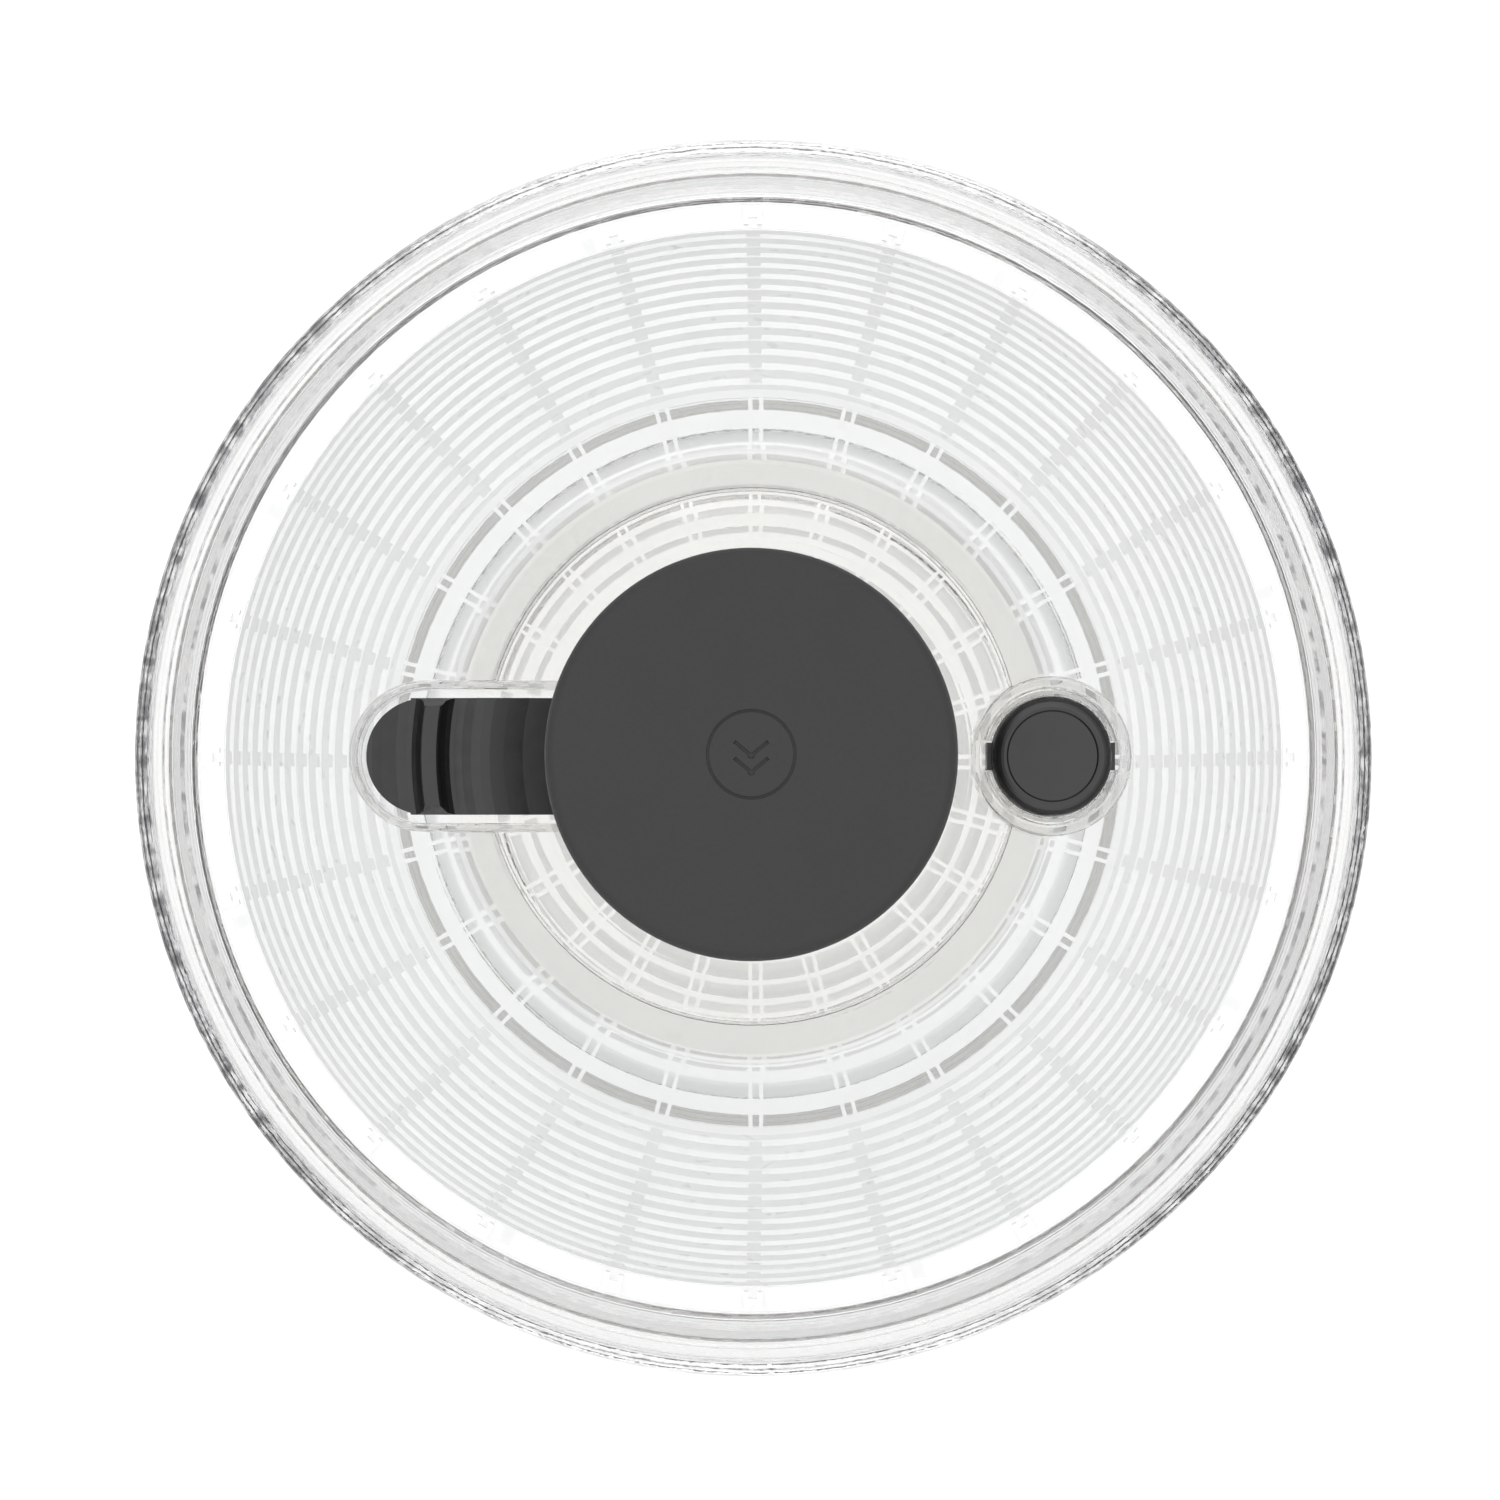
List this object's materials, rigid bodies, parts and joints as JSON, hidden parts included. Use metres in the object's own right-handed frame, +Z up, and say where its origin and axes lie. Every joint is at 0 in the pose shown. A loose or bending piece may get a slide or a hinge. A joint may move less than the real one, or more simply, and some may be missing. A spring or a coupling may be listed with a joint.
{
  "type": "salad spinner",
  "caption": "Round clear salad spinner: footed bowl, slotted spinning basket and clear lid with a tall round pump knob, a brake button and a sliding knob lock.",
  "frame": {"origin": "on the surface it stands on, under the middle of the bowl", "axes": "+Z up along the spin axis, +X towards the brake button, -X towards the knob lock"},
  "size_m": [0.267, 0.267, 0.19],
  "materials": {
    "clear_plastic": "clear, polished",
    "milky_plastic": "milky translucent, satin",
    "soft_grip": "fine matte soft-touch",
    "stem_plastic": "satin moulded",
    "black_plastic": "satin moulded",
    "grey_rubber": "matte",
    "acetal": "matte white",
    "steel": "plain stainless"
  },
  "bodies": {
    "bowl": {"bowl": "clear_plastic", "bowl_grip_ring": "grey_rubber"},
    "pivot": {"pivot_cup": "acetal"},
    "basket": {"basket": "milky_plastic"},
    "lid": {"lid_shell": "clear_plastic", "mechanism_housing": "acetal", "housing_screws": "steel", "lower_bush": "acetal", "hub_bearing_ring": "acetal", "brake_seat": "acetal", "lock_detent_spring": "steel", "return_spring": "steel", "brake_spring": "steel"},
    "knob": {"knob_cap": "soft_grip", "knob_core": "black_plastic", "knob_screws": "steel", "plunger_sleeve": "stem_plastic", "plunger_nut": "acetal"},
    "clutch": {"spindle": "steel", "clutch_driver": "black_plastic", "pawl_pins": "steel", "pawl_springs": "steel", "spindle_screw": "steel", "spindle_washer": "steel"},
    "pawl_1": {"pawl_1": "black_plastic"},
    "pawl_2": {"pawl_2": "black_plastic"},
    "pawl_3": {"pawl_3": "black_plastic"},
    "drive": {"drive_plate": "clear_plastic", "ratchet_ring": "acetal", "hub_cover": "clear_plastic", "hub_screws": "steel"},
    "brake": {"brake_button": "black_plastic", "brake_pad": "grey_rubber", "brake_clip": "steel"},
    "lock": {"lock_slider": "black_plastic", "lock_washer": "steel", "lock_screw": "steel"}
  },
  "joints": [
    {"name": "lid_lift", "type": "slide", "parent": "bowl", "child": "lid", "axis": [0, 0, 1], "range_m": [0, 0.32]},
    {"name": "basket_lift", "type": "slide", "parent": "bowl", "child": "pivot", "axis": [0, 0, 1], "range_m": [0, 0.15]},
    {"name": "basket_spin", "type": "hinge", "parent": "pivot", "child": "basket", "pos_m": [0, 0, 0.02], "axis": [0, 0, 1], "continuous": true},
    {"name": "drive_spin", "type": "hinge", "parent": "lid", "child": "drive", "pos_m": [0, 0, 0.13], "axis": [0, 0, 1], "continuous": true},
    {"name": "knob_pump", "type": "slide", "parent": "lid", "child": "knob", "axis": [0, 0, 1], "range_m": [-0.026, 0], "stiffness_N_per_m": 350, "springref_m": 0.012, "deforming": ["return_spring"]},
    {"name": "spindle_spin", "type": "hinge", "parent": "lid", "child": "clutch", "pos_m": [0, 0, 0.1], "axis": [0, 0, 1], "range_deg": [-361, 0]},
    {"name": "brake_press", "type": "slide", "parent": "lid", "child": "brake", "axis": [0, 0, 1], "range_m": [-0.0023, 0], "stiffness_N_per_m": 500, "springref_m": 0.004, "deforming": ["brake_spring"]},
    {"name": "lock_slide", "type": "slide", "parent": "lid", "child": "lock", "axis": [1, 0, 0], "range_m": [0, 0.005]},
    {"name": "pawl_1_swing", "type": "hinge", "parent": "clutch", "child": "pawl_1", "pos_m": [0.01381, 0.00586, 0.102], "axis": [0, 0, 1], "range_deg": [0, 12]},
    {"name": "pawl_2_swing", "type": "hinge", "parent": "clutch", "child": "pawl_2", "pos_m": [-0.01198, 0.00903, 0.102], "axis": [0, 0, 1], "range_deg": [0, 12]},
    {"name": "pawl_3_swing", "type": "hinge", "parent": "clutch", "child": "pawl_3", "pos_m": [-0.00183, -0.01489, 0.102], "axis": [0, 0, 1], "range_deg": [0, 12]}
  ],
  "couplings": [
    {"joint": "basket_lift", "follows": "lid_lift", "ratio": 0.45},
    {"joint": "drive_spin", "follows": "basket_spin", "ratio": 1},
    {"joint": "spindle_spin", "follows": "knob_pump", "rad_per_m": 241.66},
    {"joint": "pawl_2_swing", "follows": "pawl_1_swing", "ratio": 1},
    {"joint": "pawl_3_swing", "follows": "pawl_1_swing", "ratio": 1}
  ]
}
